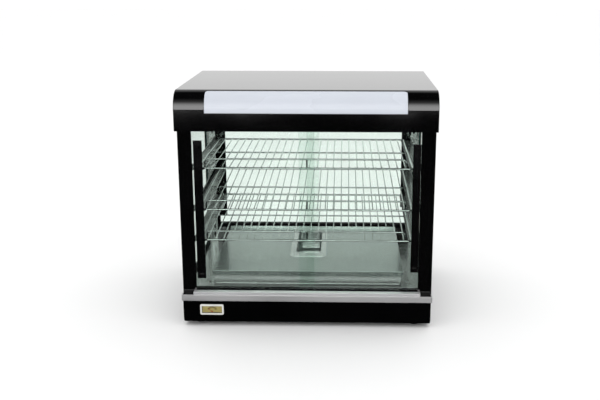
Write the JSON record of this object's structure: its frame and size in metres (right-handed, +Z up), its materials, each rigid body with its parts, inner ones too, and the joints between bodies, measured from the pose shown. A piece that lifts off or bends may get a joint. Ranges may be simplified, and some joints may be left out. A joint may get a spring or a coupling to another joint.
{
  "type": "food holding cabinet",
  "caption": "Heated glass display cabinet with sliding front and rear doors, tilted wire shelves, a floor tray with a water pan, a lit sign hood and a control base.",
  "frame": {"origin": "centre of the footprint, at the underside of the feet", "axes": "+X to the right as seen from the front, the front faces -Y, +Z up"},
  "size_m": [0.66, 0.51, 0.622],
  "materials": {
    "black_enamel": "gloss black powder enamel on sheet steel",
    "trim_steel": "brushed stainless band",
    "stainless": "satin stainless sheet",
    "tray_steel": "satin stainless sheet, lightly worn",
    "pan_steel": "drawn stainless, satin",
    "heater_sheath": "heat-stained steel sheath",
    "chrome_wire": "bright plated wire",
    "sill_aluminium": "satin anodised",
    "screw_steel": "plated steel",
    "copper_probe": "bare copper capillary and bulb",
    "clear_glass": "toughened float glass, faint green edge",
    "gauge_window": "clear flat window",
    "lamp_glass": "opal tube with bright end caps",
    "sign_acrylic": "milky translucent sheet",
    "track_black": "extruded, satin black",
    "grip_black": "moulded, satin black",
    "black_plastic": "moulded, fine grain",
    "white_plastic": "moulded, smooth",
    "dial_face": "cream dial with plain scale marks",
    "wire_red": "silicone insulation",
    "needle_red": "painted pointer",
    "green_rocker": "translucent green",
    "black_rocker": "moulded, smooth",
    "pilot_lens": "amber lens",
    "foot_rubber": "moulded rubber"
  },
  "bodies": {
    "cabinet": {"base_shell": "black_enamel", "cable_gland": "black_plastic", "ceiling_panel": "stainless", "control_panel": "black_enamel", "deck_plate": "stainless", "feet": "foot_rubber", "front_lower_track": "track_black", "front_sill_strip": "sill_aluminium", "front_upper_track": "track_black", "heater_box": "stainless", "heater_clips": "stainless", "heater_elements": "heater_sheath", "hood_rear_panel": "black_enamel", "hood_shell": "black_enamel", "lamp_ballast": "white_plastic", "lamp_holders": "white_plastic", "lamp_tube": "lamp_glass", "pilot_lamp": "pilot_lens", "post_front_left": "black_enamel", "post_front_right": "black_enamel", "post_rear_left": "black_enamel", "post_rear_right": "black_enamel", "rear_lower_track": "track_black", "rear_sill": "black_enamel", "rear_upper_track": "track_black", "screws": "screw_steel", "sensor_probes": "copper_probe", "shelf_rails": "stainless", "shelf_uprights": "stainless", "side_channels": "foot_rubber", "side_glass_left": "clear_glass", "side_glass_right": "clear_glass", "sign_panel": "sign_acrylic", "switch_housings": "black_plastic", "terminal_block": "white_plastic", "thermometer_bezel": "white_plastic", "thermometer_case": "black_plastic", "thermometer_face": "dial_face", "thermometer_window": "gauge_window", "thermostat_body": "black_plastic", "trim_band": "trim_steel", "wiring": "wire_red"},
    "front_door_left": {"front_door_left_glass": "clear_glass", "front_door_left_grip": "grip_black"},
    "front_door_right": {"front_door_right_glass": "clear_glass", "front_door_right_grip": "grip_black"},
    "rear_door_left": {"rear_door_left_glass": "clear_glass", "rear_door_left_grip": "grip_black"},
    "rear_door_right": {"rear_door_right_glass": "clear_glass", "rear_door_right_grip": "grip_black"},
    "shelf_top": {"shelf_top": "chrome_wire"},
    "shelf_middle": {"shelf_middle": "chrome_wire"},
    "shelf_bottom": {"shelf_bottom": "chrome_wire"},
    "floor_tray": {"floor_tray": "tray_steel"},
    "water_pan": {"water_pan": "pan_steel"},
    "thermostat_knob": {"thermostat_knob": "black_plastic"},
    "power_rocker": {"power_rocker": "green_rocker"},
    "lamp_rocker": {"lamp_rocker": "black_rocker"},
    "thermometer_needle": {"thermometer_needle": "needle_red"}
  },
  "joints": [
    {"name": "front_door_left_slide", "type": "slide", "parent": "cabinet", "child": "front_door_left", "axis": [1, 0, 0], "range_m": [0, 0.245]},
    {"name": "front_door_right_slide", "type": "slide", "parent": "cabinet", "child": "front_door_right", "axis": [1, 0, 0], "range_m": [-0.245, 0]},
    {"name": "rear_door_left_slide", "type": "slide", "parent": "cabinet", "child": "rear_door_left", "axis": [1, 0, 0], "range_m": [0, 0.245]},
    {"name": "rear_door_right_slide", "type": "slide", "parent": "cabinet", "child": "rear_door_right", "axis": [1, 0, 0], "range_m": [-0.245, 0]},
    {"name": "shelf_top_lift", "type": "slide", "parent": "cabinet", "child": "shelf_top", "axis": [0, 0, 1], "range_m": [0, 0.03]},
    {"name": "shelf_middle_lift", "type": "slide", "parent": "cabinet", "child": "shelf_middle", "axis": [0, 0, 1], "range_m": [0, 0.03]},
    {"name": "shelf_bottom_lift", "type": "slide", "parent": "cabinet", "child": "shelf_bottom", "axis": [0, 0, 1], "range_m": [0, 0.03]},
    {"name": "floor_tray_lift", "type": "slide", "parent": "cabinet", "child": "floor_tray", "axis": [0, 0, 1], "range_m": [0, 0.015]},
    {"name": "water_pan_lift", "type": "slide", "parent": "floor_tray", "child": "water_pan", "axis": [0, 0, 1], "range_m": [0, 0.06]},
    {"name": "thermostat_turn", "type": "hinge", "parent": "cabinet", "child": "thermostat_knob", "pos_m": [0.17, 0.235, 0.047], "axis": [0, -1, 0], "range_deg": [0, 270]},
    {"name": "power_rocker_tip", "type": "hinge", "parent": "cabinet", "child": "power_rocker", "pos_m": [0.09, 0.2335, 0.047], "axis": [-1, 0, 0], "range_deg": [0, 16]},
    {"name": "lamp_rocker_tip", "type": "hinge", "parent": "cabinet", "child": "lamp_rocker", "pos_m": [0.04, 0.2335, 0.047], "axis": [-1, 0, 0], "range_deg": [0, 16]},
    {"name": "thermometer_needle_turn", "type": "hinge", "parent": "cabinet", "child": "thermometer_needle", "pos_m": [-0.2495, -0.25, 0.041], "axis": [0, 1, 0], "range_deg": [0, 96]}
  ]
}
